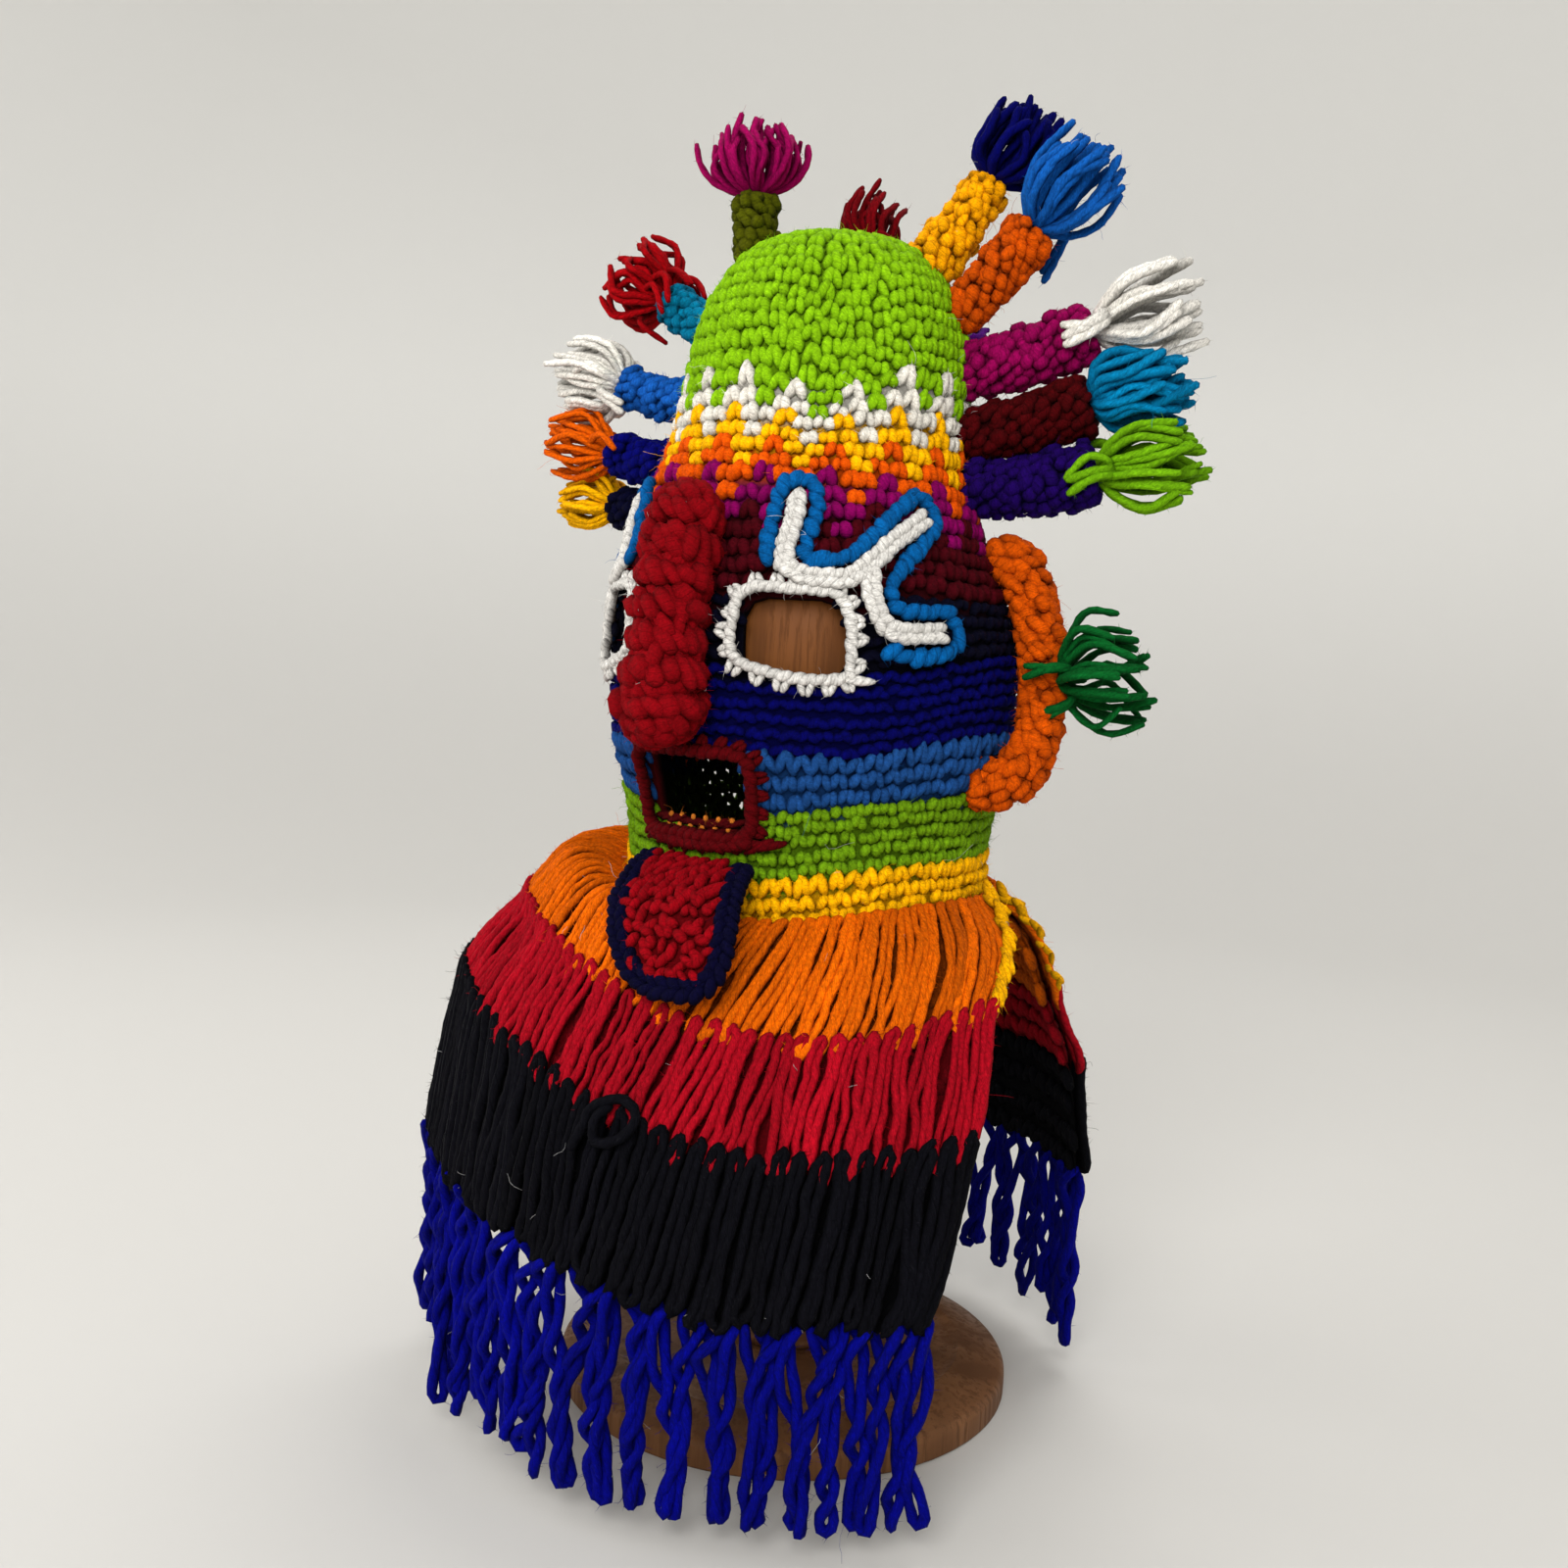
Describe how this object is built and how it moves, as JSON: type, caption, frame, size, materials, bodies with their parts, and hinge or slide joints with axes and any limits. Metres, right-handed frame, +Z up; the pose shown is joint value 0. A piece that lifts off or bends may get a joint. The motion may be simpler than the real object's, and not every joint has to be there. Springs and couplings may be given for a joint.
{
  "type": "aya huma mask",
  "caption": "Crocheted wool hood mask with open eyes and mouth, stuffed horns with tufts and a fringed loop collar, on a turned wooden stand.",
  "frame": {"origin": "middle of the stand foot's underside, on the surface that it stands on", "axes": "+Z up, the face looks along -Y, +X towards the wearer's left, where the face's own left eye is"},
  "size_m": [0.3052, 0.3139, 0.5823],
  "materials": {
    "hood_wool": "matte crocheted wool in bands of green, white, yellow, orange, magenta, maroon, navy and blue",
    "collar_wool": "matte wool loops in an orange, a red and a black band",
    "fringe_wool": "matte twisted ultramarine wool",
    "red_wool": "matte crocheted wool, stuffed",
    "crimson_wool": "matte crocheted wool",
    "burgundy_wool": "matte crocheted wool",
    "white_wool": "matte wool chain",
    "lash_blue_wool": "matte wool cord",
    "navy_wool": "matte wool",
    "dark_navy_wool": "matte wool",
    "orange_wool": "matte crocheted wool, stuffed",
    "dark_green_wool": "matte wool tuft",
    "purple_wool": "matte wool",
    "maroon_wool": "matte crocheted wool, stuffed",
    "magenta_wool": "matte wool",
    "yellow_wool": "matte wool",
    "lime_wool": "matte crocheted wool, stuffed",
    "leaf_green_wool": "matte crocheted wool, stuffed",
    "olive_wool": "matte crocheted wool, stuffed",
    "turquoise_wool": "matte wool",
    "mid_blue_wool": "matte wool",
    "grass_green_wool": "matte wool tuft",
    "dark_red_wool": "matte wool tuft",
    "stand_wood": "satin turned hardwood"
  },
  "bodies": {
    "root": {"stand_foot": "stand_wood", "stand_post": "stand_wood", "stand_block": "stand_wood", "hood": "hood_wool", "nose": "red_wool", "eye_rim_left": "white_wool", "eye_rim_right": "white_wool", "mouth_rim": "burgundy_wool", "lash_left": "white_wool", "lash_right": "white_wool", "lash_border_left": "lash_blue_wool", "lash_border_right": "lash_blue_wool", "tongue": "crimson_wool", "tongue_border": "dark_navy_wool", "ear_left": "orange_wool", "ear_right": "orange_wool", "ear_tuft_left": "dark_green_wool", "ear_tuft_right": "dark_green_wool", "horn_01": "purple_wool", "horn_02": "maroon_wool", "horn_03": "magenta_wool", "horn_04": "orange_wool", "horn_05": "yellow_wool", "horn_06": "lime_wool", "horn_07": "leaf_green_wool", "horn_08": "olive_wool", "horn_09": "turquoise_wool", "horn_10": "mid_blue_wool", "horn_11": "navy_wool", "horn_12": "dark_navy_wool", "tuft_01": "grass_green_wool", "tuft_02": "turquoise_wool", "tuft_03": "white_wool", "tuft_04": "mid_blue_wool", "tuft_05": "navy_wool", "tuft_06": "purple_wool", "tuft_07": "dark_red_wool", "tuft_08": "magenta_wool", "tuft_09": "crimson_wool", "tuft_10": "white_wool", "tuft_11": "orange_wool", "tuft_12": "yellow_wool", "collar_front": "collar_wool", "collar_back": "collar_wool", "fringe_front": "fringe_wool", "fringe_back": "fringe_wool"}
  },
  "joints": []
}
